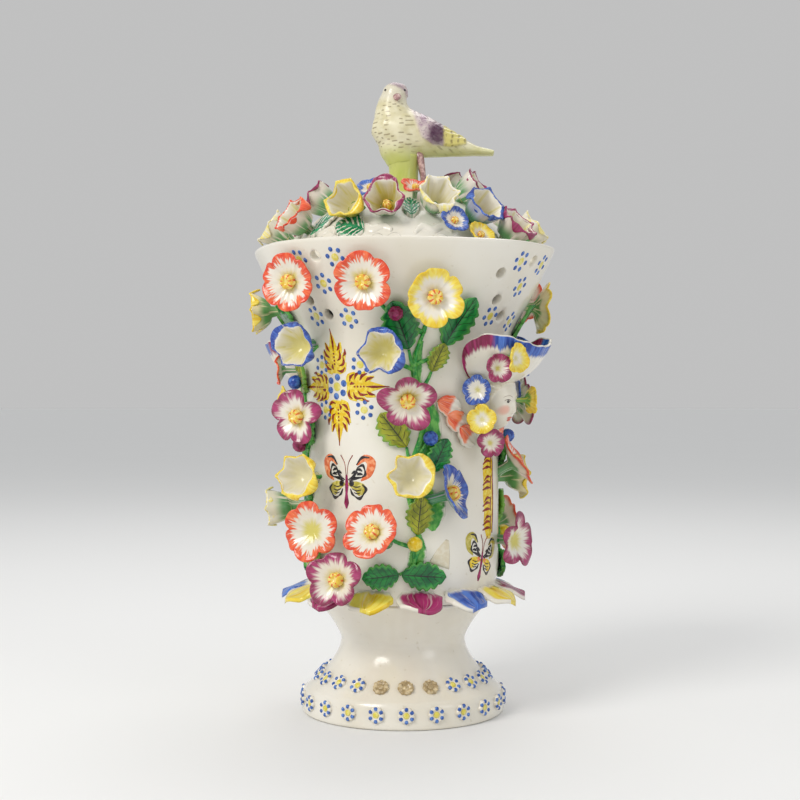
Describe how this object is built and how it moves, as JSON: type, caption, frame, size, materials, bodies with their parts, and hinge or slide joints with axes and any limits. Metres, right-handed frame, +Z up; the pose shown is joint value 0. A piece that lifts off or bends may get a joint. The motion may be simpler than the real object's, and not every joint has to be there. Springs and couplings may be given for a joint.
{
  "type": "potpourri vase",
  "caption": "Porcelain pot-pourri vase with a hollow foot, flared pierced neck, applied flower garlands, side masks and a lift-off domed cover topped by a bird.",
  "frame": {"origin": "middle of the foot ring, on the ground", "axes": "+Z up along the vase's axis, the painted front faces -Y, the masks face +X and -X"},
  "size_m": [0.139, 0.1389, 0.2697],
  "materials": {
    "porcelain": "gloss glaze",
    "yellow_petal": "gloss glaze",
    "puce_petal": "gloss glaze",
    "blue_petal": "gloss glaze",
    "red_petal": "gloss glaze",
    "pale_petal": "gloss glaze",
    "mixed_petal": "gloss glaze",
    "floret": "gloss glaze",
    "face": "gloss glaze",
    "bonnet": "gloss glaze",
    "stem": "gloss glaze",
    "leaf": "gloss glaze",
    "bud": "gloss glaze",
    "plumage": "gloss glaze",
    "stump": "gloss glaze"
  },
  "bodies": {
    "vase": {"foot": "porcelain", "body": "porcelain", "frill_petals_yellow": "yellow_petal", "frill_petals_puce": "puce_petal", "frill_petals_blue": "blue_petal", "foot_florets_lower": "floret", "foot_florets_upper": "floret", "mask_right": "face", "mask_left": "face", "bonnet_right": "bonnet", "bonnet_left": "bonnet", "collar_right": "red_petal", "collar_left": "red_petal", "mask_flowers_right": "mixed_petal", "mask_flowers_left": "mixed_petal", "stem_front_right": "stem", "stem_front_left": "stem", "stem_back_right": "stem", "stem_back_left": "stem", "leaves_front_right": "leaf", "leaves_front_left": "leaf", "leaves_back_right": "leaf", "leaves_back_left": "leaf", "buds_front_right": "bud", "buds_front_left": "bud", "buds_back_right": "bud", "buds_back_left": "bud", "red_primrose_upper_right": "red_petal", "yellow_primrose_neck_right": "yellow_petal", "blue_cup_upper_right": "blue_petal", "puce_primrose_right": "puce_petal", "yellow_cup_right": "yellow_petal", "blue_primrose_lower_right": "blue_petal", "red_primrose_lower_right": "red_petal", "red_primrose_upper_left": "red_petal", "yellow_cup_neck_left": "yellow_petal", "blue_cup_upper_left": "blue_petal", "red_bell_left": "red_petal", "puce_primrose_left": "puce_petal", "yellow_cup_left": "yellow_petal", "pale_cup_left": "pale_petal", "red_primrose_lower_left": "red_petal", "puce_primrose_frill": "puce_petal", "flowers_back_right": "mixed_petal", "flowers_back_left": "mixed_petal"},
    "cover": {"cover": "porcelain", "cover_leaves": "leaf", "stump": "stump", "bird": "plumage", "cover_yellow_cup_front": "yellow_petal", "cover_puce_cup_front": "puce_petal", "cover_pale_bell": "pale_petal", "cover_blue_star": "blue_petal", "cover_blue_bell": "blue_petal", "cover_yellow_floret": "yellow_petal", "cover_puce_cup_right": "puce_petal", "cover_red_floret": "red_petal", "cover_red_bell_left": "red_petal", "cover_pale_cup_left": "pale_petal", "cover_flowers_back": "mixed_petal"}
  },
  "joints": [
    {"name": "cover_lift", "type": "slide", "parent": "vase", "child": "cover", "axis": [0, 0, 1], "range_m": [0, 0.08]}
  ]
}
